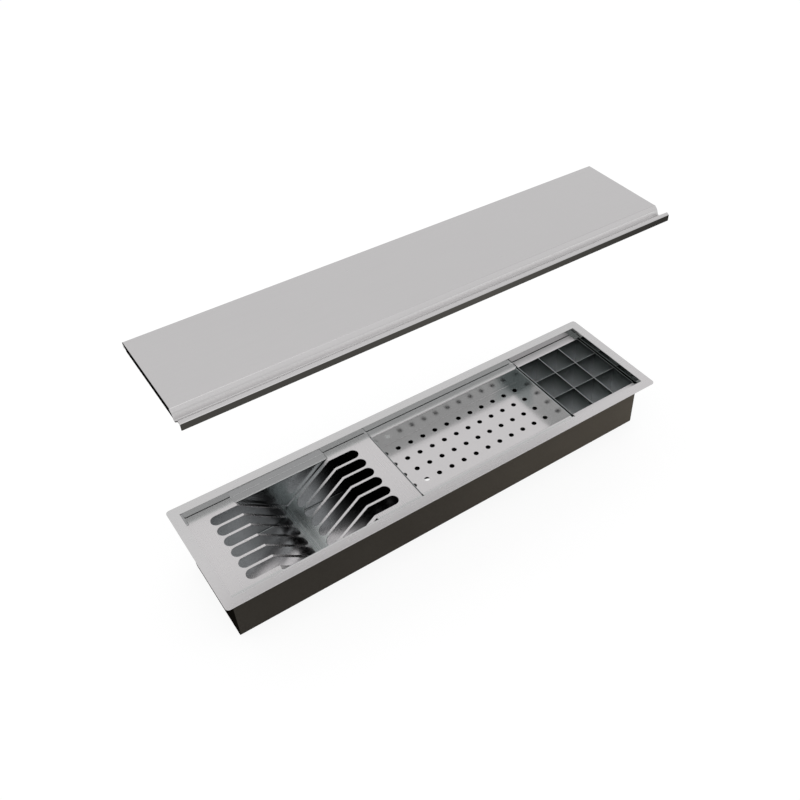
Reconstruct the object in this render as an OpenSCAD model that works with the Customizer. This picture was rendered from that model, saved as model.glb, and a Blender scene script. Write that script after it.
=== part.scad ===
// Recessed wet trough: a stainless channel let into a worktop, with a slotted
// plate rack, a perforated basket and a divided box on its ledges, and a lid
// that drops flush into its recess. Millimetres, +Z up. The origin is the
// centre of the trough's underside, and the front faces -Y.

/* [Trough] */
// Length over the flange
trough_l = 820; // [700:1:1100]
// Width over the flange
trough_w = 220; // [190:1:300]
// Depth from the top of the flange to the underside
trough_d = 111; // [96:1:160]
// Width of the flange, the same on all four sides
flange_w = 16.5; // [14:0.5:25]
// Radius of the flange's outer corners
flange_r = 6; // [1:0.5:12]
// Thickness of the trough's sheet
trough_t = 1.2; // [0.8:0.1:2]
// Depth of the recess that takes the lid
recess_d = 15; // [12:0.5:20]
// Width of the ledges that carry the trays
ledge_w = 14; // [10:0.5:18]
// Inside radius of the bend between the walls and the floor
floor_r = 3; // [2:0.5:12]
// Inside radius of every tight fold
fold_r = 0.8; // [0.5:0.1:1.5]
// Diameter of the drain hole
drain_dia = 44; // [30:1:60]
// Thickness of the sound-deadening coat
coat_t = 0.8; // [0.5:0.1:2]

/* [Fixing] */
// Width of the foam seal under the flange
seal_w = 8; // [5:0.5:10]
// Thickness of the foam seal
seal_t = 2; // [1:0.5:3]
// Distance from the flange's edge to the seal
seal_inset = 2.5; // [1:0.5:3]
// Diameter of the clamp studs
stud_dia = 5; // [4:1:6]
// Length of the clamp studs
stud_len = 10; // [8:1:16]
// Distance between the outer studs of a row
stud_span = 620; // [400:10:660]

/* [Trays] */
// Thickness of the trays' sheet
tray_t = 1; // [0.8:0.1:1.5]
// Clearance between a tray's rim and the ledge under it
seat_gap = 0.3; // [0.2:0.1:0.5]
// Clearance between the rims' outer edges and the recess walls
rim_gap = 1.4; // [0.5:0.1:2]
// Distance from the end of a tray to the end of its front rim
front_inset = 0.2; // [0:0.1:8]
// The same distance for a rear rim, beside the next tray
rim_inset = 1.2; // [0.5:0.1:8]
// The same distance for the rear rims at the two ends of the row
end_inset = 5.5; // [0.5:0.1:10]
// Corner radius of the rims
rim_r = 2; // [1:0.5:5]
// Clearance between the walls of basket and box and the trough's walls
wall_gap = 2.3; // [1:0.1:4]
// Inside radius of the bends at the floors of basket and box
tray_floor_r = 1; // [0.5:0.5:5]
// Clearance from the left end of the recess to the rack
left_gap = 0.6; // [0.4:0.1:2]
// Clearance from the rack to the basket
rack_gap = 1.2; // [1:0.1:3]
// Clearance from the basket to the box
box_gap = 3.4; // [2:0.1:6]
// Clearance from the box to the right end of the recess
right_gap = 2.2; // [1:0.1:5]

/* [Plate rack] */
// Length of each flat land of the rack
land_l = 82.2; // [65:0.1:110]
// Width of the V at the lands
mouth_l = 163.1; // [120:0.1:200]
// Depth of the V below the lands
v_depth = 64; // [40:0.5:70]
// Inside radius of the bends at the edges and the bottom of the V
v_r = 1; // [0.5:0.5:4]
// Clearance between the sides of the V and the trough's walls
v_gap = 1.8; // [1:0.1:6]
// Number of slots on each side of the V
slot_count = 6; // [4:1:8]
// Width of the bars between the slots
bar_w = 4.5; // [3:0.1:9]
// Width of the outer bars
edge_bar_w = 6.2; // [4:0.1:9]
// Reach of a slot over the land, to the centre of its round end
slot_reach = 38.6; // [25:0.1:45]
// Distance on the slope from a slot's lower tip to the bottom of the V
slot_foot = 14.5; // [8:0.5:30]

/* [Basket] */
// Depth of the basket inside
basket_d = 33.5; // [25:0.5:60]
// Diameter of the perforations
hole_dia = 9; // [5:0.5:12]
// Spacing of the perforations along the basket
hole_pitch_x = 25.22; // [18:0.01:40]
// Spacing of the perforations across the basket
hole_pitch_y = 29.4; // [18:0.1:40]
// Least distance from a wall to the centre of a perforation
hole_margin = 12; // [10:0.5:20]

/* [Divided box] */
// Length of the box
box_l = 143.3; // [110:0.1:180]
// Depth of the box inside
box_d = 65; // [30:0.5:72]
// Cells along the box
cell_count_x = 3; // [3:1:5]
// Cells across the box
cell_count_y = 3; // [3:1:5]
// Distance from the rims down to the top of the dividers
divider_drop = 0.5; // [0:0.5:10]
// Clearance in the halving slots of the dividers
halving_gap = 0.2; // [0.1:0.1:0.5]

/* [Lid] */
// Clearance between the lid and the recess, all round
lid_gap = 1; // [0.6:0.1:3]
// Thickness of the lid's sheet
lid_t = 1.2; // [1:0.1:2]
// Inside radius of the lid's folds, which are grooved to come out sharp
lid_fold_r = 0.2; // [0.1:0.1:1]
// Height of the lid above its closed place, in which its top is level with the flange
lid_lift = 336.8; // [200:0.1:500]
// Clearance between the closed lid and the trays that it stands on
rest_gap = 0.3; // [0.2:0.1:1]
// Depth of the lips, apart from the middle of the rear one
lip_d = 10; // [6:0.5:11]
// Distance from the lid's ends to the deeper middle of the rear lip
rest_inset = 40; // [20:5:150]
// Width of the nose, the land in front of the finger channel
nose_w = 7; // [5:0.5:10]
// How far the nose's right corner is cut back
nose_cut = 3; // [1:0.5:8]
// Width of the channel's front slope
channel_front = 15; // [12:0.5:20]
// Width of the channel's floor
channel_floor = 2; // [1.5:0.5:8]
// Width of the channel's rear slope
channel_rear = 8.5; // [7:0.5:16]
// How far the channel's rear slope bulges at its middle
slope_bulge = 1.8; // [0.5:0.1:2.5]
// Thickness of the damping pad under the lid
pad_t = 2; // [1:0.5:3]
// Distance from the damping pad to the folds round it
pad_margin = 10; // [5:1:30]

/* [Hidden] */
fold_steps = 6;
slack = 0.01;
cut_reach = 5;
stud_base_h = 0.8;
stud_base_w = 1.3;
stud_tip_h = 1;
bulge_r = 8;
$fn = 64;

// The trough's opening, basin and levels
open_l = trough_l - 2 * flange_w;
open_w = trough_w - 2 * flange_w;
basin_w = open_w - 2 * ledge_w;
ledge_z = trough_d - recess_d;
under_flange_z = trough_d - trough_t;
floor_z = coat_t + trough_t;
end_outer_x = open_l / 2 + trough_t;
coat_top_z = ledge_z - trough_t - fold_r;

// The trays' shared width, rims and level
rim_w = open_w - 2 * rim_gap;
rim_z = ledge_z + seat_gap + tray_t;
tray_w = basin_w - 2 * wall_gap;
tray_in_w = tray_w - 2 * tray_t;

// Where each tray starts and ends along the trough
rack_l = 2 * land_l + mouth_l;
rack_x = -open_l / 2 + left_gap;
basket_x = rack_x + rack_l + rack_gap;
box_x = open_l / 2 - right_gap - box_l;
basket_l = box_x - box_gap - basket_x;

// The rack's V
rack_mid = rack_x + rack_l / 2;
rack_w = basin_w - 2 * v_gap;
slope_angle = atan2(v_depth, mouth_l / 2);
slope_len = norm([mouth_l / 2, v_depth]);
slot_w = (rack_w - 2 * edge_bar_w - (slot_count - 1) * bar_w) / slot_count;
slot_pitch = slot_w + bar_w;

// The basket's perforations
holes_x = floor((basket_l - 2 * hole_margin) / hole_pitch_x) + 1;
holes_y = floor((tray_in_w - 2 * hole_margin) / hole_pitch_y) + 1;

// The box's cells
box_in_l = box_l - 2 * tray_t;
cell_x = (box_in_l - (cell_count_x - 1) * tray_t) / cell_count_x;
cell_y = (tray_in_w - (cell_count_y - 1) * tray_t) / cell_count_y;
box_floor_z = rim_z - box_d;
divider_h = box_d - divider_drop;

// The lid, its folds and its level
lid_l = open_l - 2 * lid_gap;
lid_w = open_w - 2 * lid_gap;
lid_z = trough_d + lid_lift;
rest_d = trough_d - rim_z - rest_gap;
channel_d = rest_d - lid_t;
channel_y = -lid_w / 2 + nose_w;
slope_y = channel_y + channel_front + channel_floor;
panel_y = slope_y + channel_rear;
edge_r = lid_fold_r + lid_t;

// Folded sheet: a path follows one face of the sheet, which lies on the right
// of the path, and radii holds the inside radius of each fold in turn
function unit(v) = v / norm(v);
function left_of(v) = [-v[1], v[0]];
function spun(v, a) = [v[0] * cos(a) - v[1] * sin(a), v[0] * sin(a) + v[1] * cos(a)];
function reversed(list) = [for (i = [len(list) - 1:-1:0]) list[i]];

// The arc that a fold leaves on the face that lies off from the path
function fold_arc(a, b, c, r, t, off) =
    let (
        u = unit(b - a),
        v = unit(c - b),
        turn = atan2(u[0] * v[1] - u[1] * v[0], u * v),
        side = sign(turn),
        path_r = side > 0 ? r : r + t,
        centre = b - u * path_r * tan(abs(turn) / 2) + left_of(u) * side * path_r,
        spoke = -left_of(u) * side * (path_r + side * off)
    )
    [for (i = [0:fold_steps]) centre + spun(spoke, turn * i / fold_steps)];

function sheet_face(path, radii, t, off) =
    let (
        n = len(path) - 1,
        first = path[0] - left_of(unit(path[1] - path[0])) * off,
        last = path[n] - left_of(unit(path[n] - path[n - 1])) * off
    )
    concat(
        [first],
        [for (i = [1:n - 1]) each fold_arc(path[i - 1], path[i], path[i + 1], radii[i - 1], t, off)],
        [last]
    );

function sheet_outline(path, radii, t) =
    concat(sheet_face(path, radii, t, 0), reversed(sheet_face(path, radii, t, t)));

// The trough's section, on its inner face, from the front to the rear
function trough_path() = [
    [-open_w / 2, under_flange_z],
    [-open_w / 2, ledge_z],
    [-basin_w / 2, ledge_z],
    [-basin_w / 2, floor_z],
    [basin_w / 2, floor_z],
    [basin_w / 2, ledge_z],
    [open_w / 2, ledge_z],
    [open_w / 2, under_flange_z]
];
trough_radii = [fold_r, fold_r, floor_r, floor_r, fold_r, fold_r];

// The section of the coat round the basin, on the steel's outer face
function coat_path() = [
    [-basin_w / 2 - trough_t, coat_top_z],
    [-basin_w / 2 - trough_t, coat_t],
    [basin_w / 2 + trough_t, coat_t],
    [basin_w / 2 + trough_t, coat_top_z]
];
coat_radii = [floor_r + trough_t, floor_r + trough_t];

// The section shared by basket and box, on its inner face
function tray_path(bottom_z) = [
    [-rim_w / 2, rim_z],
    [-tray_in_w / 2, rim_z],
    [-tray_in_w / 2, bottom_z],
    [tray_in_w / 2, bottom_z],
    [tray_in_w / 2, rim_z],
    [rim_w / 2, rim_z]
];
tray_radii = [fold_r, tray_floor_r, tray_floor_r, fold_r];

// The rack's long section, on its upper face, from the left to the right
function rack_path() = [
    [rack_x, rim_z],
    [rack_x + land_l, rim_z],
    [rack_mid, rim_z - v_depth],
    [rack_x + land_l + mouth_l, rim_z],
    [rack_x + rack_l, rim_z]
];
rack_radii = [v_r, v_r, v_r];

// The channel's rear slope from its foot to the panel, with its bulge between
slope_foot = [slope_y, lid_z - channel_d];
slope_top = [panel_y, lid_z];
slope_mid = (slope_foot + slope_top) / 2 + slope_bulge * unit([-channel_d, channel_rear]);

// The lid's section, on its upper face, from the front lip to the rear one
function lid_path() = [
    [-lid_w / 2, lid_z - lip_d],
    [-lid_w / 2, lid_z],
    [channel_y, lid_z],
    [channel_y + channel_front, lid_z - channel_d],
    slope_foot,
    slope_mid,
    slope_top,
    [lid_w / 2, lid_z],
    [lid_w / 2, lid_z - rest_d]
];
lid_radii = [lid_fold_r, lid_fold_r, fold_r, fold_r, bulge_r, lid_fold_r, lid_fold_r];

module along_x(l) {
    rotate([90, 0, 90]) linear_extrude(l, center = true) children();
}

module along_y(l) {
    rotate([90, 0, 0]) linear_extrude(l, center = true) children();
}

module rounded_plate(l, w, r) {
    square([l - 2 * r, w], center = true);
    square([l, w - 2 * r], center = true);
    for (x = [-1, 1], y = [-1, 1])
        translate([x * (l / 2 - r), y * (w / 2 - r)]) circle(r);
}

module rim_flange() {
    color("gainsboro")
    translate([0, 0, under_flange_z])
    linear_extrude(trough_t)
    difference() {
        rounded_plate(trough_l, trough_w, flange_r);
        square([open_l, open_w], center = true);
    }
}

module drain_cut() {
    translate([0, 0, -cut_reach]) cylinder(d = drain_dia, h = 2 * cut_reach + floor_z);
}

module trough_wrap() {
    color("silver")
    difference() {
        along_x(open_l) polygon(sheet_outline(trough_path(), trough_radii, trough_t));
        drain_cut();
    }
}

// An end wall closes the whole section, from the floor to the flange
module end_panel(side) {
    color("darkgray")
    translate([side * (open_l + trough_t) / 2, 0, 0])
    along_x(trough_t)
    polygon(sheet_face(trough_path(), trough_radii, trough_t, trough_t));
}

module left_end_panel() {
    end_panel(-1);
}

module right_end_panel() {
    end_panel(1);
}

module deadening_wrap() {
    color([0.24, 0.22, 0.19])
    difference() {
        along_x(2 * end_outer_x) polygon(sheet_outline(coat_path(), coat_radii, coat_t));
        drain_cut();
    }
}

// The coat on an end wall also covers the edges of the coat round the basin
module deadening_end(side) {
    color([0.2, 0.19, 0.17])
    translate([side * (end_outer_x + coat_t / 2), 0, 0])
    along_x(coat_t) {
        polygon(sheet_face(trough_path(), trough_radii, trough_t, trough_t));
        polygon(sheet_face(coat_path(), coat_radii, coat_t, coat_t));
    }
}

module deadening_left() {
    deadening_end(-1);
}

module deadening_right() {
    deadening_end(1);
}

module rim_seal() {
    outer_l = trough_l - 2 * seal_inset;
    outer_w = trough_w - 2 * seal_inset;
    color([0.15, 0.15, 0.16])
    translate([0, 0, under_flange_z - seal_t])
    linear_extrude(seal_t)
    difference() {
        rounded_plate(outer_l, outer_w, flange_r);
        square([outer_l - 2 * seal_w, outer_w - 2 * seal_w], center = true);
    }
}

// A weld stud hangs from the ledge on its flat weld base
module clamp_stud() {
    shank_h = stud_len - stud_tip_h;
    cylinder(d = stud_base_w * stud_dia, h = stud_base_h);
    cylinder(d = stud_dia, h = shank_h);
    translate([0, 0, shank_h])
        cylinder(d1 = stud_dia, d2 = stud_dia - 2 * stud_tip_h, h = stud_tip_h);
}

module clamp_studs() {
    color("lightsteelblue")
    for (x = [-stud_span / 2, 0, stud_span / 2], side = [-1, 1])
        translate([x, side * (basin_w + ledge_w) / 2, ledge_z - trough_t])
        rotate([180, 0, 0])
        clamp_stud();
}

// What a slot's round end leaves to cut, from the fold on, with room at the sides
module slot_reach_cut(reach) {
    linear_extrude(2 * cut_reach, center = true) {
        translate([-cut_reach, -slot_w]) square([reach + cut_reach, 2 * slot_w]);
        translate([reach, 0]) circle(slot_w / 2 + slack);
    }
}

// A slot bends with the sheet: it goes through the land and through the slope
// between the same two side faces
module bent_slot() {
    intersection() {
        cube([2 * slope_len, slot_w, 2 * slope_len], center = true);
        union() {
            slot_reach_cut(slot_reach);
            rotate([0, 180 - slope_angle, 0])
                slot_reach_cut(slope_len - slot_foot - slot_w / 2);
        }
    }
}

// A front and a rear rim seen flat, as wide as the recess leaves room for
module rims_outline(start_x, l, left_inset, right_inset) {
    rear_l = l - left_inset - right_inset;
    translate([start_x + left_inset + rear_l / 2, 0]) rounded_plate(rear_l, rim_w, rim_r);
    intersection() {
        translate([start_x + l / 2, 0]) rounded_plate(l - 2 * front_inset, rim_w, rim_r);
        translate([start_x, -rim_w]) square([l, rim_w]);
    }
}

// The rack's rims are its lands' wider parts, which lie on the ledges
module rack_outline() {
    square([rack_l, rack_w], center = true);
    rims_outline(-rack_l / 2, land_l, end_inset, rim_inset);
    rims_outline(rack_l / 2 - land_l, land_l, rim_inset, rim_inset);
}

module plate_rack() {
    color("lightgray")
    difference() {
        intersection() {
            along_y(rim_w) polygon(sheet_outline(rack_path(), rack_radii, tray_t));
            translate([rack_mid, 0, 0]) linear_extrude(trough_d) rack_outline();
        }
        for (side = [0, 1], i = [0:slot_count - 1])
            translate([rack_mid, (i - (slot_count - 1) / 2) * slot_pitch, rim_z])
            mirror([side, 0, 0])
            translate([mouth_l / 2, 0, 0])
            bent_slot();
    }
}

// The folded front, floor and rear of a tray, with its two rims
module tray_wrap(start_x, l, bottom_z, left_inset, right_inset) {
    intersection() {
        translate([start_x + l / 2, 0, 0])
            along_x(l - 2 * tray_t)
            polygon(sheet_outline(tray_path(bottom_z), tray_radii, tray_t));
        linear_extrude(trough_d) {
            translate([start_x + l / 2, 0]) square([l, tray_w + slack], center = true);
            rims_outline(start_x, l, left_inset, right_inset);
        }
    }
}

// A tray's end wall closes the section between the rims
module tray_end(x, bottom_z) {
    path = tray_path(bottom_z);
    walls = [for (i = [1:len(path) - 2]) path[i]];
    translate([x, 0, 0])
    along_x(tray_t)
    polygon(sheet_face(walls, [tray_floor_r, tray_floor_r], tray_t, tray_t));
}

module basket_wrap() {
    floor_top_z = rim_z - basket_d;
    color("lightgray")
    difference() {
        tray_wrap(basket_x, basket_l, floor_top_z, rim_inset, rim_inset);
        for (i = [0:holes_x - 1], j = [0:holes_y - 1])
            translate([
                basket_x + basket_l / 2 + (i - (holes_x - 1) / 2) * hole_pitch_x,
                (j - (holes_y - 1) / 2) * hole_pitch_y,
                floor_top_z - cut_reach
            ])
            cylinder(d = hole_dia, h = 2 * cut_reach);
    }
}

module basket_left_end() {
    color("darkgray") tray_end(basket_x + tray_t / 2, rim_z - basket_d);
}

module basket_right_end() {
    color("darkgray") tray_end(basket_x + basket_l - tray_t / 2, rim_z - basket_d);
}

module box_wrap() {
    color("slategray") tray_wrap(box_x, box_l, box_floor_z, rim_inset, end_inset);
}

module box_left_end() {
    color("dimgray") tray_end(box_x + tray_t / 2, box_floor_z);
}

module box_right_end() {
    color("dimgray") tray_end(box_x + box_l - tray_t / 2, box_floor_z);
}

// Places of the dividers' centres along a side of the box
function divider_places(cells, cell) =
    [for (i = [1:cells - 1]) (i - cells / 2) * (cell + tray_t)];

// Dividers halve into each other: the long ones are slotted from above
module long_divider(y) {
    slot = tray_t + halving_gap;
    translate([box_x + box_l / 2, y, box_floor_z])
    along_y(tray_t)
    difference() {
        translate([-box_in_l / 2, 0]) square([box_in_l, divider_h]);
        for (x = divider_places(cell_count_x, cell_x))
            translate([x - slot / 2, divider_h / 2]) square([slot, divider_h]);
    }
}

// The short ones are slotted from below, and cleared from the floor's bends
module short_divider(x) {
    slot = tray_t + halving_gap;
    translate([box_x + box_l / 2 + x, 0, box_floor_z])
    along_x(tray_t)
    difference() {
        translate([-tray_in_w / 2, 0]) square([tray_in_w, divider_h]);
        for (y = divider_places(cell_count_y, cell_y))
            translate([y - slot / 2, -divider_h / 2]) square([slot, divider_h]);
        for (side = [-1, 1])
            translate([side * tray_in_w / 2, 0])
            rotate(45)
            square(tray_floor_r * sqrt(2), center = true);
    }
}

// Each side's node holds its half of the dividers, where there are more than two
function half_of(places, last) =
    [for (i = [0:len(places) - 1]) if ((i >= len(places) / 2) == last) places[i]];

module long_dividers(last) {
    for (y = half_of(divider_places(cell_count_y, cell_y), last)) long_divider(y);
}

module short_dividers(last) {
    for (x = half_of(divider_places(cell_count_x, cell_x), last)) short_divider(x);
}

module front_divider() {
    color("gray") long_dividers(false);
}

module rear_divider() {
    color("gray") long_dividers(true);
}

module left_divider() {
    color("darkgray") short_dividers(false);
}

module right_divider() {
    color("darkgray") short_dividers(true);
}

// A side lip hangs from the flat panel and from the channel's rear slope, and
// its rear corner is mitred to clear the rear lip
module side_lip() {
    into_sheet = lid_t / 2 * unit([channel_d, -channel_rear]);
    share = (channel_d - lip_d) / (slope_mid[1] - slope_foot[1]);
    slope_end = slope_foot + share * (slope_mid - slope_foot);
    along_x(lid_t)
    polygon([
        [slope_end[0] + into_sheet[0], lid_z - lip_d],
        slope_mid + into_sheet,
        slope_top + into_sheet,
        [lid_w / 2 - lid_t, lid_z - lid_t / 2],
        [lid_w / 2 - lip_d, lid_z - lip_d]
    ]);
}

// What a side fold's round leaves off the panel's sharp corner
module edge_round_cut() {
    difference() {
        square(edge_r);
        circle(edge_r);
    }
}

// The nose's right corner is cut back, from the front to the channel
module nose_corner_cut() {
    translate([lid_l / 2, -lid_w / 2, lid_z - lip_d - cut_reach])
    linear_extrude(lip_d + 2 * cut_reach)
    polygon([[-nose_cut, 0], [0, nose_w], [cut_reach, 0], [0, -cut_reach]]);
}

// Near the lid's ends the rear lip is no deeper than the others
module rear_lip_cut() {
    translate([lid_l / 2 - rest_inset, lid_w / 2 - cut_reach, lid_z - lip_d - cut_reach])
        cube([rest_inset + cut_reach, 2 * cut_reach, cut_reach]);
}

module lid_panel() {
    color("gainsboro")
    difference() {
        union() {
            along_x(lid_l) polygon(sheet_outline(lid_path(), lid_radii, lid_t));
            for (side = [-1, 1])
                translate([side * (lid_l - lid_t) / 2, 0, 0]) side_lip();
        }
        nose_corner_cut();
        for (side = [0, 1]) mirror([side, 0, 0]) {
            rear_lip_cut();
            translate([lid_l / 2 - edge_r, (panel_y + lid_w / 2) / 2, lid_z - edge_r])
                along_y(lid_w / 2 - panel_y)
                edge_round_cut();
        }
    }
}

module lid_damping_pad() {
    pad_l = lid_l - 2 * lid_t - 2 * pad_margin;
    pad_front = panel_y + pad_margin;
    pad_rear = lid_w / 2 - lid_t - pad_margin;
    color([0.2, 0.2, 0.2])
    translate([0, (pad_front + pad_rear) / 2, lid_z - lid_t - pad_t])
    linear_extrude(pad_t)
    rounded_plate(pad_l, pad_rear - pad_front, rim_r);
}

rim_flange();
trough_wrap();
left_end_panel();
right_end_panel();
deadening_wrap();
deadening_left();
deadening_right();
rim_seal();
clamp_studs();
plate_rack();
basket_wrap();
basket_left_end();
basket_right_end();
box_wrap();
box_left_end();
box_right_end();
front_divider();
rear_divider();
left_divider();
right_divider();
lid_panel();
lid_damping_pad();
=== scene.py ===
"""The recessed wet trough in brushed stainless steel, with its trays and its raised lid."""

import bpy
from mathutils import Matrix, Vector


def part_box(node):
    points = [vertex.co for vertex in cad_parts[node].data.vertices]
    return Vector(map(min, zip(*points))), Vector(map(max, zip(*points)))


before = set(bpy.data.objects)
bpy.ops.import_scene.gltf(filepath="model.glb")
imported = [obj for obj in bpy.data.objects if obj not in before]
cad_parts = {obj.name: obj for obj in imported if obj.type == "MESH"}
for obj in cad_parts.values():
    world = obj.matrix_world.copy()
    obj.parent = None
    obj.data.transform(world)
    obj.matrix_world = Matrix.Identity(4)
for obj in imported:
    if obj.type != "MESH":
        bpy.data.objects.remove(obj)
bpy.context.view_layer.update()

MM = 0.001

# Camera, fitted to the photograph's 800 by 800 frame
CAMERA_AT = (-0.5586, -0.8872, 1.1682)
CAMERA_RIGHT = (0.8102, -0.5861, 0.0026)
CAMERA_UP = (0.4039, 0.5616, 0.7220)
CAMERA_BACK = (-0.4247, -0.5839, 0.6918)
LENS_MM, SENSOR_MM = 40.557, 36.0
SHIFT_X, SHIFT_Y = -0.08811, 0.02358
NEAREST, FARTHEST = 0.05, 60.0

# Light: a white surround and one soft key lamp overhead
SURROUND = 0.80
KEY_AT, KEY_TOWARDS = (-0.4, -0.1, 3.2), (0, 0, 0.1)
KEY_SIZE, KEY_WATTS = 3.2, 18

# Floor: glow and tint where it is seen, and a plain pale grey where it lights the object
FLOOR_GLOW, FLOOR_TINT, FLOOR_PALE = 0.875, 0.16, 0.8
FLOOR_SIDE, FLOOR_Z = 18.0, -0.2 * MM

# Noise: about how many features go into a metre, the range that it keeps to, and how much
# of a sheet's tone comes from the streaks, the rest being clouds
GRAIN = {"x": (9, 420, 420), "y": (420, 9, 420), "z": (420, 420, 9)}
STEEL_CLOUDS, SMEARS = 7.0, 38.0
PEBBLES, COAT_CLOUDS = 520.0, 11.0
FOAM_CELLS, PAD_GRAIN = 1400.0, 300.0
NOISE_RANGE = 0.3, 0.7
STREAK_SHARE = 0.6

# Gloss: each sheet's middle roughness, what its streaks and smears take off or add, and the
# other materials' roughness
TROUGH_ROUGH, FLANGE_ROUGH, RACK_ROUGH, BASKET_ROUGH = 0.20, 0.28, 0.26, 0.22
BOX_ROUGH, LID_ROUGH, STUD_ROUGH = 0.40, 0.30, 0.35
SMOOTHER, ROUGHER = 0.03, 0.04
RECESS_POLISH = -0.08
COAT_ROUGH, PAD_ROUGH, MATT = (0.6, 0.72), (0.7, 0.85), 0.9
COAT_SHINE = 0.12

# Relief in the shading: its full depth, and the share of that depth which each finish has
BRUSH_DEPTH, PEBBLE_DEPTH = 0.02 * MM, 0.2 * MM
FLANGE_RELIEF, SHEET_RELIEF = 0.005, 0.004
COAT_RELIEF, FOAM_RELIEF, PAD_RELIEF = 0.2, 0.5, 0.4

# The trough's sheet is even: its tone varies by this much, and its gloss by this share
TROUGH_CONTRAST, TROUGH_SPREAD = 0.005, 0.3

# Colours
STEEL = (0.560, 0.545, 0.550)
LID_STEEL = (0.512, 0.502, 0.505)
ZINC = (0.52, 0.54, 0.57)
# The coat's dark brown, partly painted shade for the outer walls, and its random clouding
COAT_AND_SHADE, COAT_CLOUDED = (0.047, 0.040, 0.031), (0.95, 1.05)
# Painted shade: the coat on the end walls, near black
COAT_END_SHADE = (0.003, 0.003, 0.002), (0.010, 0.008, 0.007)
FOAM = (0.012, 0.012, 0.012), (0.028, 0.028, 0.029)
PAD = (0.020, 0.020, 0.021), (0.036, 0.036, 0.037)
# Painted shade for the lid's lips, and the factor for their darker ends
LIP_SHADE = (0.077, 0.0735, 0.067)
LIP_END_SHADE = 0.04

# Masks by the way a face looks: the level at which each begins, and where it is whole
UPRIGHT = 0.6, 0.4
LEVEL = 0.85, 0.95
BEND_FROM, BEND_TO = (0.04, 0.15), (0.99, 0.95)
SLANTED, TURNED_UP = (0.3, 0.5), (-0.3, -0.1)
LID_FOLD_FROM, LID_FOLD_TO = (-0.01, -0.08), (-0.60, -0.45)
LID_SLOPE_FROM, LID_SLOPE_TO = (-0.45, -0.60), (-0.80, -0.75)
LID_STEEP = -0.8, -0.9
LIP_FACING, END_FACING = (0.6, 0.8), (0.5, 0.7)

# Masks by place, in metres
LEDGE_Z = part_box("plate_rack")[1].z - 1.3 * MM
BELOW_LEDGE = LEDGE_Z - 0.6 * MM, LEDGE_Z - 1.2 * MM
RIM_FROM_Y = 78.5 * MM, 79.5 * MM
V_FOOT_Z = 0.046, 0.038
LID_LOW, LID_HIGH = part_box("lid_panel")
BEHIND_NOSE_Y = LID_LOW.y + 9 * MM, LID_LOW.y + 10 * MM
FRONT_LIP_Y = LID_LOW.y + 0.4 * MM, LID_LOW.y + 0.2 * MM
REAR_LIP_Y = LID_HIGH.y - 0.4 * MM, LID_HIGH.y - 0.2 * MM
END_LIP_X = LID_HIGH.x - 3.4 * MM, LID_HIGH.x - 3.2 * MM

# Painted light and shade: factors on the sheet's colour, some of them by place in metres
RECESS_WALL_SHADE, RECESS_END_SHADE = (0.95, 0.98, 0.975), (0.54, 0.59, 0.57)
DEEP_WALL_SHADE, DEEP_FLOOR_SHADE, DEEP_FOLD_SHADE = (0.69, 0.765, 0.77), (0.97, 0.965, 0.975), (0.50, 0.54, 0.54)
WALL_SHADOW_BAND = [(-0.360, 0.84), (-0.315, 0.93), (-0.280, 0.45), (-0.258, 0.42), (-0.238, 0.97)]
DEEP_SHADE_ALONG = [(-0.40, 1.0), (-0.175, 1.0), (-0.145, 0.25), (-0.10, 0.12), (0.40, 0.06)]
FLANGE_SHADE_ACROSS = [(-0.11, 1.0), (0.11, (0.955, 0.973, 0.967))]
UNDERSIDE_SHADE = [(TURNED_UP[0], 0.03), (TURNED_UP[1], 1.0)]
RIM_SHADE = (0.90, 0.93, 0.92)
EDGE_SHADE, CROSS_EDGE = (0.60, 0.65, 0.65), 0.7
BEND_SHADE = (0.85, 0.85, 0.85)
LEFT_SLOPE_SHADE = [(0.033, (0.98, 1.05, 1.04)), (0.048, 0.86), (0.064, 0.03), (0.080, 0.34),
              (0.097, 0.86)]
RIGHT_SLOPE_SHADE = [(0.033, (0.57, 0.63, 0.62)), (0.045, (0.76, 0.82, 0.81)), (0.055, 1.0),
               (0.097, 1.0)]
V_FOOT_LIGHT_AND_SHADE = [(-0.077, 1.18), (0.0, 0.95), (0.077, 0.74)]
V_FOOT_SHADE_LINE = (0.47, 0.48, 0.48)
BASKET_WALL_SHADE = (0.875, 0.92, 0.905)
BASKET_SHADE_ALONG = [(-0.07, 1.0), (0.19, 1.0), (0.212, (0.76, 0.81, 0.81)),
                (0.245, (0.75, 0.80, 0.80))]
BASKET_SHADE_ACROSS = [(-0.08, 1.0), (0.018, 1.0), (0.036, (0.68, 0.74, 0.74)),
                 (0.08, (0.66, 0.72, 0.72))]
CELL_LIGHT_AND_SHADE = [(0.033, (1.56, 1.64, 1.64)), (0.056, (1.38, 1.46, 1.46)),
               (0.070, (1.00, 1.08, 1.07)), (0.086, (0.48, 0.54, 0.54)),
               (0.098, (0.10, 0.11, 0.11))]
LID_FOLD_SHADE = (0.87, 0.87, 0.87)
LID_SLOPE_LIGHT_ALONG = [(-0.39, 0.93), (-0.10, 1.03), (0.39, 1.06)]
LID_STEEP_LIGHT_HEIGHT = [(0.4361, (1.12, 1.14, 1.13)), (0.4382, (1.24, 1.25, 1.245)),
                    (0.4406, (1.40, 1.42, 1.41))]
LID_STEEP_LIGHT_ALONG = [(-0.39, 0.88), (-0.25, 0.89), (0.0, 1.07), (0.27, 1.12), (0.378, 1.10),
                   (0.389, 0.80)]
LID_CHANNEL_LIGHT_ALONG = [(-0.39, 1.08), (0.0, 1.28), (0.39, 1.33)]
LIP_SHADE_ALONG = [(-0.39, 0.95), (-0.15, 0.97), (0.05, 1.28), (0.39, 0.53)]
COAT_LIGHT_ALONG = [(-0.40, 0.63), (-0.05, 0.89), (0.25, 1.46), (0.40, 1.80)]

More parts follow.
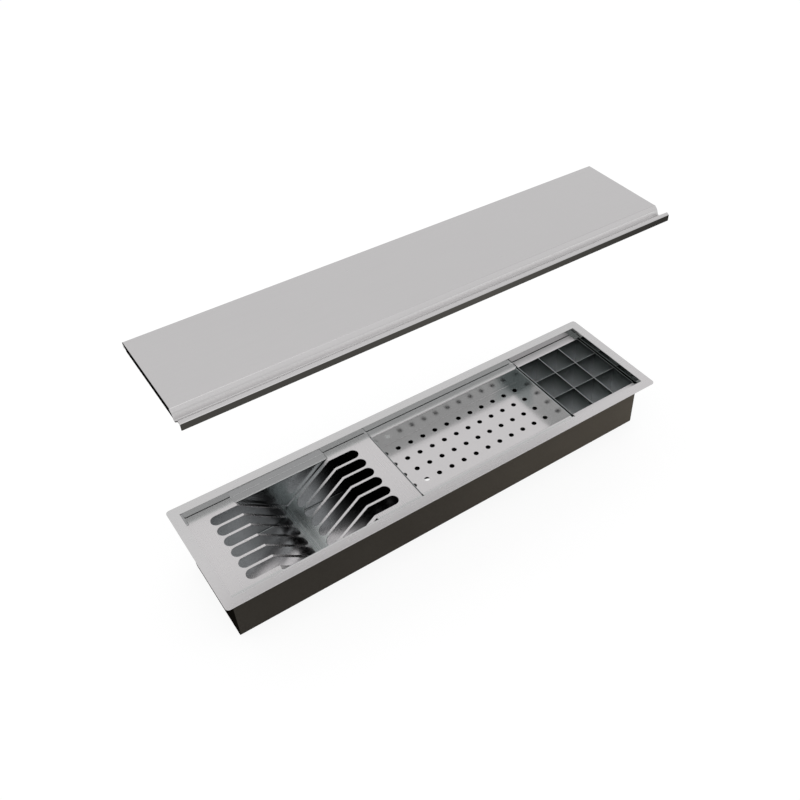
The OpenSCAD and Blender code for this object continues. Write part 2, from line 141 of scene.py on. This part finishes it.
# Which material each CAD node gets
FINISH = {
    "rim_flange": "flange", "trough_wrap": "sheet_x",
    "left_end_panel": "end_y", "right_end_panel": "end_y",
    "deadening_wrap": "coat", "deadening_left": "coat_end", "deadening_right": "coat_end",
    "rim_seal": "foam", "clamp_studs": "studs",
    "plate_rack": "rack",
    "basket_wrap": "basket", "basket_left_end": "basket_end", "basket_right_end": "basket_end",
    "box_wrap": "box", "box_left_end": "divider_y", "box_right_end": "divider_y",
    "front_divider": "divider", "rear_divider": "divider",
    "left_divider": "divider_y", "right_divider": "divider_y",
    "lid_panel": "lid", "lid_damping_pad": "pad",
}


class Nodes:
    """Adds shader nodes to one material. A value is an output, a number or a colour."""

    def __init__(self, name):
        self.material = bpy.data.materials.new(name)
        self.material.use_nodes = True
        self.tree = self.material.node_tree
        self.shader = self.tree.nodes["Principled BSDF"]
        self.place = self.add("ShaderNodeTexCoord").outputs["Object"]

    def add(self, kind, **values):
        node = self.tree.nodes.new(kind)
        for key, value in values.items():
            setattr(node, key, value)
        return node

    def feed(self, socket, value):
        """Links an output to a socket, or gives the socket a number or a colour."""
        if isinstance(value, bpy.types.NodeSocket):
            self.tree.links.new(value, socket)
        else:
            socket.default_value = (*value, 1.0) if isinstance(value, tuple) else value

    def set(self, **values):
        """Feeds the shader's sockets, which are named with _ for a space."""
        for key, value in values.items():
            self.feed(self.shader.inputs[key.replace("_", " ")], value)

    def current(self, name):
        """What feeds one of the shader's sockets so far."""
        return self.shader.inputs[name].links[0].from_socket

    def scaled(self, scale):
        """The place in the object, with its own scale along each axis."""
        mapping = self.add("ShaderNodeMapping")
        mapping.inputs["Scale"].default_value = scale
        self.feed(mapping.inputs["Vector"], self.place)
        return mapping.outputs["Vector"]

    def noise(self, scale, detail=2.0, rough=0.5, vector=None):
        node = self.add("ShaderNodeTexNoise")
        for key, value in (("Scale", scale), ("Detail", detail), ("Roughness", rough)):
            node.inputs[key].default_value = value
        self.feed(node.inputs["Vector"], vector or self.place)
        return node.outputs["Fac"]

    def math(self, operation, *values):
        node = self.add("ShaderNodeMath", operation=operation)
        for socket, value in zip(node.inputs, values):
            self.feed(socket, value)
        return node.outputs[0]

    def average(self, a, b, share=0.5):
        """A share of one value and the rest of another."""
        return self.math("ADD", self.both(a, share), self.both(b, 1 - share))

    def ramp(self, value, low, high, to_low=0.0, to_high=1.0):
        """Goes from one level to another while the value goes from low to high."""
        node = self.add("ShaderNodeMapRange", clamp=True)
        self.feed(node.inputs["Value"], value)
        levels = {"From Min": low, "From Max": high, "To Min": to_low, "To Max": to_high}
        for key, number in levels.items():
            node.inputs[key].default_value = number
        return node.outputs["Result"]

    def band(self, value, begins, ends):
        """1 between two ramps, and 0 outside them."""
        return self.both(self.ramp(value, *begins), self.ramp(value, *ends))

    def mix(self, factor, a, b, blend="MIX"):
        node = self.add("ShaderNodeMix", data_type="RGBA", blend_type=blend)
        self.feed(node.inputs["Factor"], factor)
        self.feed(node.inputs[6], a)
        self.feed(node.inputs[7], b)
        return node.outputs[2]

    def times(self, a, b):
        return self.mix(1.0, a, b, "MULTIPLY")

    def both(self, a, b):
        return self.math("MULTIPLY", a, b)

    def size_of(self, value):
        return self.math("ABSOLUTE", value)

    def part_of(self, output, letter):
        split = self.add("ShaderNodeSeparateXYZ")
        self.feed(split.inputs[0], output)
        return split.outputs[letter]

    def axis(self, letter):
        """How far along an axis a point is."""
        return self.part_of(self.place, letter)

    def facing(self, letter):
        """How far a face looks along an axis, from -1 to 1."""
        return self.part_of(self.add("ShaderNodeTexCoord").outputs["Normal"], letter)

    def profile(self, value, stops):
        """A level or colour read off a list of places, each with its level or colour."""
        first, last = stops[0][0], stops[-1][0]
        node = self.add("ShaderNodeValToRGB")
        self.feed(node.inputs["Fac"], self.ramp(value, first, last))
        elements = node.color_ramp.elements
        for place, level in stops:
            at = (place - first) / (last - first)
            element = elements[0] if at == 0 else elements[-1] if at == 1 else elements.new(at)
            element.color = (*level, 1) if isinstance(level, tuple) else (level, level, level, 1)
        return node.outputs["Color"]

    def tint(self, factor, where=None):
        """Multiplies the colour that the shader has so far, all over or where a mask says."""
        if where is not None:
            factor = self.mix(where, (1.0, 1.0, 1.0), factor)
        self.set(Base_Color=self.times(self.current("Base Color"), factor))

    def paint(self, colour, where):
        """Lays a colour over what the shader has so far, where a mask says."""
        self.set(Base_Color=self.mix(where, self.current("Base Color"), colour))

    def bump(self, height, strength, distance):
        """Gives the shading a relief, and leaves the mesh as it is."""
        node = self.add("ShaderNodeBump")
        node.inputs["Strength"].default_value = strength
        node.inputs["Distance"].default_value = distance
        self.feed(node.inputs["Height"], height)
        self.set(Normal=node.outputs["Normal"])


def shade(colour, factor):
    return tuple(c * factor for c in colour)


def opposite(facings):
    """The same mask for faces that look the other way."""
    return tuple(-facing for facing in facings)


def brushed_steel(name, colour, roughness, along, contrast=0.015, relief=0.01, spread=1.0):
    """Stainless sheet with its brushing along one axis, faint clouds and handling marks."""
    n = Nodes(name)
    streaks = n.noise(1.0, detail=3.0, rough=0.6, vector=n.scaled(GRAIN[along]))
    clouds = n.noise(STEEL_CLOUDS, detail=3.0)
    smears = n.noise(SMEARS, detail=4.0, rough=0.65)
    tone = n.ramp(n.average(streaks, clouds, STREAK_SHARE), *NOISE_RANGE)
    gloss = n.ramp(n.average(streaks, smears), *NOISE_RANGE,
                   roughness - SMOOTHER * spread, roughness + ROUGHER * spread)
    n.set(Base_Color=n.mix(tone, shade(colour, 1 - contrast), shade(colour, 1 + contrast)),
          Roughness=gloss, Metallic=1.0)
    n.bump(streaks, relief, BRUSH_DEPTH)
    return n


def coat_material():
    """Sprayed damping coat: dark brown, partly as painted shade, pebbled and matt, with painted
    light paler to the right.
    """
    n = Nodes("deadening_coat")
    pebbles = n.noise(PEBBLES, detail=3.0, rough=0.6)
    clouds = n.ramp(n.noise(COAT_CLOUDS, detail=3.0), *NOISE_RANGE)
    n.set(Base_Color=n.mix(clouds, *(shade(COAT_AND_SHADE, c) for c in COAT_CLOUDED)),
          Roughness=n.ramp(pebbles, *NOISE_RANGE, *COAT_ROUGH), Specular_IOR_Level=COAT_SHINE)
    # Painted light: the coat paler to the right
    n.tint(n.profile(n.axis("X"), COAT_LIGHT_ALONG))
    n.bump(pebbles, COAT_RELIEF, PEBBLE_DEPTH)
    return n.material


def coat_end_material():
    """The same coat on the end walls, painted near black as their shade."""
    n = Nodes("deadening_coat_end_shade")
    pebbles = n.noise(PEBBLES, detail=3.0, rough=0.6)
    n.set(Base_Color=n.mix(pebbles, *COAT_END_SHADE), Roughness=MATT, Specular_IOR_Level=0.0)
    n.bump(pebbles, COAT_RELIEF, PEBBLE_DEPTH)
    return n.material


def foam_material():
    """Closed-cell foam."""
    n = Nodes("seal_foam")
    cells = n.noise(FOAM_CELLS)
    n.set(Base_Color=n.mix(cells, *FOAM), Roughness=MATT)
    n.bump(cells, FOAM_RELIEF, PEBBLE_DEPTH)
    return n.material


def pad_material():
    """Bitumen damping sheet with a faint embossed grain."""
    n = Nodes("damping_pad")
    grain = n.noise(PAD_GRAIN, detail=3.0)
    n.set(Base_Color=n.mix(grain, *PAD), Roughness=n.ramp(grain, *NOISE_RANGE, *PAD_ROUGH))
    n.bump(grain, PAD_RELIEF, PEBBLE_DEPTH)
    return n.material


def upright(n):
    """The walls."""
    return n.ramp(n.size_of(n.facing("Z")), *UPRIGHT)


def level(n):
    """The faces that look straight up."""
    return n.ramp(n.facing("Z"), *LEVEL)


def bends(n):
    """The folds between a level face and an upright one."""
    return n.band(n.facing("Z"), BEND_FROM, BEND_TO)


def tray_rims(n):
    """The rims that rest on the ledges, which get a little painted shade."""
    return n.ramp(n.size_of(n.axis("Y")), *RIM_FROM_Y)


def shadowed_underside(n):
    """Painted shade on a tray's underside, which only its reflection in the trough shows."""
    n.tint(n.profile(n.facing("Z"), UNDERSIDE_SHADE))


def trough_material(name, along, recess):
    """The trough's sheet: polished above the ledges, with painted shade there and deeper painted
    shade below the trays.
    """
    n = brushed_steel(name, STEEL, TROUGH_ROUGH, along,
                      contrast=TROUGH_CONTRAST, relief=0.0, spread=TROUGH_SPREAD)
    inside = n.ramp(n.axis("Z"), *BELOW_LEDGE)
    above = n.math("SUBTRACT", 1.0, inside)
    n.set(Roughness=n.math("MULTIPLY_ADD", above, RECESS_POLISH, n.current("Roughness")))
    # Painted shade on the sheet above the ledges
    n.tint(recess, above)
    # Painted shade below the ledges: darker walls with a shadow band, floor and folds, darkest to
    # the right
    n.tint(DEEP_WALL_SHADE, n.both(inside, upright(n)))
    n.tint(n.profile(n.axis("X"), WALL_SHADOW_BAND), n.both(inside, upright(n)))
    n.tint(DEEP_FLOOR_SHADE, n.both(inside, level(n)))
    n.tint(DEEP_FOLD_SHADE, n.both(inside, bends(n)))
    n.tint(n.profile(n.axis("X"), DEEP_SHADE_ALONG), inside)
    return n.material


def flange_material():
    """The flange, with painted shade a little darker to the rear."""
    n = brushed_steel("flange_steel", STEEL, FLANGE_ROUGH, "x", relief=FLANGE_RELIEF)
    n.tint(n.profile(n.axis("Y"), FLANGE_SHADE_ACROSS))
    return n.material


def rack_material():
    """The plate rack's sheet, with painted light and shade by height on the V's slopes and at its
    foot.
    """
    n = brushed_steel("rack_sheet", STEEL, RACK_ROUGH, "y", relief=SHEET_RELIEF)
    shadowed_underside(n)
    n.tint(n.profile(n.axis("Z"), LEFT_SLOPE_SHADE), n.ramp(n.facing("X"), *SLANTED))
    n.tint(n.profile(n.axis("Z"), RIGHT_SLOPE_SHADE), n.ramp(n.facing("X"), *opposite(SLANTED)))
    foot = n.ramp(n.axis("Z"), *V_FOOT_Z)
    n.tint(n.profile(n.axis("Y"), V_FOOT_LIGHT_AND_SHADE), foot)
    n.tint(V_FOOT_SHADE_LINE, n.both(foot, level(n)))
    n.tint(RIM_SHADE, tray_rims(n))
    return n.material


def basket_wrap_material():
    """The basket's folded sheet, with painted shade on its walls and folds, darker at the rear
    wall's right end.
    """
    n = brushed_steel("basket_sheet", STEEL, BASKET_ROUGH, "x", relief=SHEET_RELIEF)
    shadowed_underside(n)
    n.tint(BASKET_WALL_SHADE, upright(n))
    # Painted shade over the highlight in the folds
    n.tint(BEND_SHADE, bends(n))
    n.tint(n.profile(n.axis("X"), BASKET_SHADE_ALONG), upright(n))
    n.tint(RIM_SHADE, tray_rims(n))
    return n.material


def basket_end_material():
    """The basket's ends, with painted shade darker to the rear and on their cut top edges."""
    n = brushed_steel("basket_end_sheet", STEEL, BASKET_ROUGH, "y", relief=SHEET_RELIEF)
    n.tint(BASKET_WALL_SHADE, upright(n))
    n.tint(n.profile(n.axis("Y"), BASKET_SHADE_ACROSS), upright(n))
    n.tint(EDGE_SHADE, level(n))
    return n.material


def box_material():
    """The box's folded sheet, with painted shade towards the top of the cells and painted light
    lower down.
    """
    n = brushed_steel("box_sheet", STEEL, BOX_ROUGH, "x", relief=0.0)
    shadowed_underside(n)
    n.tint(n.profile(n.axis("Z"), CELL_LIGHT_AND_SHADE), upright(n))
    return n.material


def divider_material(name, along, edge):
    """A divider or end of the box, with the cells' painted light and shade, and painted shade on
    its cut top edge.
    """
    n = brushed_steel(name, STEEL, BOX_ROUGH, along, relief=0.0)
    n.tint(n.profile(n.axis("Z"), CELL_LIGHT_AND_SHADE), upright(n))
    n.tint(edge, level(n))
    return n.material


def tint_channel(n):
    """Painted light and shade in the lid's finger channel, from the panel's fold down to the nose.
    """
    n.tint(LID_FOLD_SHADE, n.band(n.facing("Y"), LID_FOLD_FROM, LID_FOLD_TO))
    slope = n.band(n.facing("Y"), LID_SLOPE_FROM, LID_SLOPE_TO)
    n.tint(n.profile(n.axis("X"), LID_SLOPE_LIGHT_ALONG), slope)
    steep = n.both(n.ramp(n.facing("Y"), *LID_STEEP), n.ramp(n.axis("Y"), *BEHIND_NOSE_Y))
    steep_light = n.times(n.profile(n.axis("X"), LID_STEEP_LIGHT_ALONG),
                         n.profile(n.axis("Z"), LID_STEEP_LIGHT_HEIGHT))
    n.tint(steep_light, steep)
    n.tint(n.profile(n.axis("X"), LID_CHANNEL_LIGHT_ALONG), n.ramp(n.facing("Y"), *SLANTED))


def lid_material():
    """The lid's sheet, with painted shade on the outer faces of its lips."""
    n = brushed_steel("lid_sheet", LID_STEEL, LID_ROUGH, "x", relief=SHEET_RELIEF)
    tint_channel(n)
    front = n.both(n.ramp(n.axis("Y"), *FRONT_LIP_Y), n.ramp(n.facing("Y"), *opposite(LIP_FACING)))
    rear = n.both(n.ramp(n.axis("Y"), *REAR_LIP_Y), n.ramp(n.facing("Y"), *LIP_FACING))
    lips = n.math("MAXIMUM", front, rear)
    ends = n.both(n.ramp(n.size_of(n.axis("X")), *END_LIP_X),
                  n.ramp(n.size_of(n.facing("X")), *END_FACING))
    # Painted shade: a dark diffuse colour on the lips, varying along the lid, and near black on
    # the ends
    n.paint(n.times(n.profile(n.axis("X"), LIP_SHADE_ALONG), LIP_SHADE), lips)
    n.paint(shade(LIP_SHADE, LIP_END_SHADE), ends)
    n.set(Metallic=n.math("SUBTRACT", 1.0, n.math("MAXIMUM", lips, ends)), Specular_IOR_Level=0.0)
    return n.material


def dress_nodes():
    """Gives every CAD node its procedural material."""
    materials = {
        "sheet_x": trough_material("trough_sheet", "x", RECESS_WALL_SHADE),
        "end_y": trough_material("trough_end", "y", RECESS_END_SHADE),
        "flange": flange_material(),
        "basket": basket_wrap_material(),
        "basket_end": basket_end_material(),
        "box": box_material(),
        "divider": divider_material("box_divider", "x", shade(EDGE_SHADE, CROSS_EDGE)),
        "divider_y": divider_material("box_cross_sheet", "y", EDGE_SHADE),
        "rack": rack_material(),
        "lid": lid_material(),
        "studs": brushed_steel("zinc_plate", ZINC, STUD_ROUGH, "z").material,
        "coat": coat_material(),
        "coat_end": coat_end_material(),
        "foam": foam_material(),
        "pad": pad_material(),
    }
    for name, finish in FINISH.items():
        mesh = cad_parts[name].data
        mesh.materials.clear()
        mesh.materials.append(materials[finish])


def seen_directly(tree):
    """1 for rays from the camera, off gloss or through glass, which all show the backdrop."""
    path = tree.nodes.new("ShaderNodeLightPath")
    total = path.outputs["Is Camera Ray"]
    for key in ("Is Glossy Ray", "Is Transmission Ray"):
        add = tree.nodes.new("ShaderNodeMath")
        add.operation, add.use_clamp = "ADD", True
        tree.links.new(total, add.inputs[0])
        tree.links.new(path.outputs[key], add.inputs[1])
        total = add.outputs[0]
    return total


def floor_material():
    """White with a soft shadow where it is seen, and plain where it lights the object."""
    material = bpy.data.materials.new("pale_floor")
    material.use_nodes = True
    tree = material.node_tree
    tree.nodes.remove(tree.nodes["Principled BSDF"])
    plain, shown, glow = (tree.nodes.new(k) for k in
                          ("ShaderNodeBsdfDiffuse", "ShaderNodeBsdfDiffuse", "ShaderNodeEmission"))
    plain.inputs["Color"].default_value = (FLOOR_PALE, FLOOR_PALE, FLOOR_PALE, 1)
    shown.inputs["Color"].default_value = (FLOOR_TINT, FLOOR_TINT, FLOOR_TINT, 1)
    glow.inputs["Strength"].default_value = FLOOR_GLOW
    both, choice = tree.nodes.new("ShaderNodeAddShader"), tree.nodes.new("ShaderNodeMixShader")
    tree.links.new(shown.outputs[0], both.inputs[0])
    tree.links.new(glow.outputs[0], both.inputs[1])
    tree.links.new(seen_directly(tree), choice.inputs[0])
    tree.links.new(plain.outputs[0], choice.inputs[1])
    tree.links.new(both.outputs[0], choice.inputs[2])
    tree.links.new(choice.outputs[0], tree.nodes["Material Output"].inputs["Surface"])
    return material


def make_floor():
    """A wide plane just under the trough."""
    bpy.ops.mesh.primitive_plane_add(size=FLOOR_SIDE, location=(0, 0, FLOOR_Z))
    floor = bpy.context.object
    floor.name = "floor"
    floor.data.materials.append(floor_material())


def make_world():
    """White where it is seen or mirrored, and a plain level where it lights."""
    world = bpy.data.worlds.new("studio")
    bpy.context.scene.world = world
    world.use_nodes = True
    tree = world.node_tree
    shine = tree.nodes["Background"]
    shine.inputs["Color"].default_value = (1, 1, 1, 1)
    strength = tree.nodes.new("ShaderNodeMapRange")
    strength.inputs["To Min"].default_value = SURROUND
    strength.inputs["To Max"].default_value = 1.0
    tree.links.new(seen_directly(tree), strength.inputs["Value"])
    tree.links.new(strength.outputs["Result"], shine.inputs["Strength"])


def make_lamp():
    """The key: a wide disk overhead."""
    lamp = bpy.data.lights.new("key", "AREA")
    lamp.shape, lamp.size, lamp.energy = "DISK", KEY_SIZE, KEY_WATTS
    holder = bpy.data.objects.new("key", lamp)
    bpy.context.scene.collection.objects.link(holder)
    holder.location = KEY_AT
    beam = Vector(KEY_TOWARDS) - Vector(KEY_AT)
    holder.rotation_euler = beam.to_track_quat("-Z", "Y").to_euler()


def make_camera():
    """The photograph's own camera."""
    data = bpy.data.cameras.new("camera")
    data.lens, data.sensor_width = LENS_MM, SENSOR_MM
    data.shift_x, data.shift_y = SHIFT_X, SHIFT_Y
    data.clip_start, data.clip_end = NEAREST, FARTHEST
    camera = bpy.data.objects.new("camera", data)
    bpy.context.scene.collection.objects.link(camera)
    rows = Matrix((CAMERA_RIGHT, CAMERA_UP, CAMERA_BACK))
    camera.matrix_world = Matrix.Translation(CAMERA_AT) @ rows.transposed().to_4x4()
    bpy.context.scene.camera = camera


make_camera()
make_world()
make_floor()
make_lamp()
dress_nodes()
bpy.context.scene.view_settings.view_transform = "Standard"
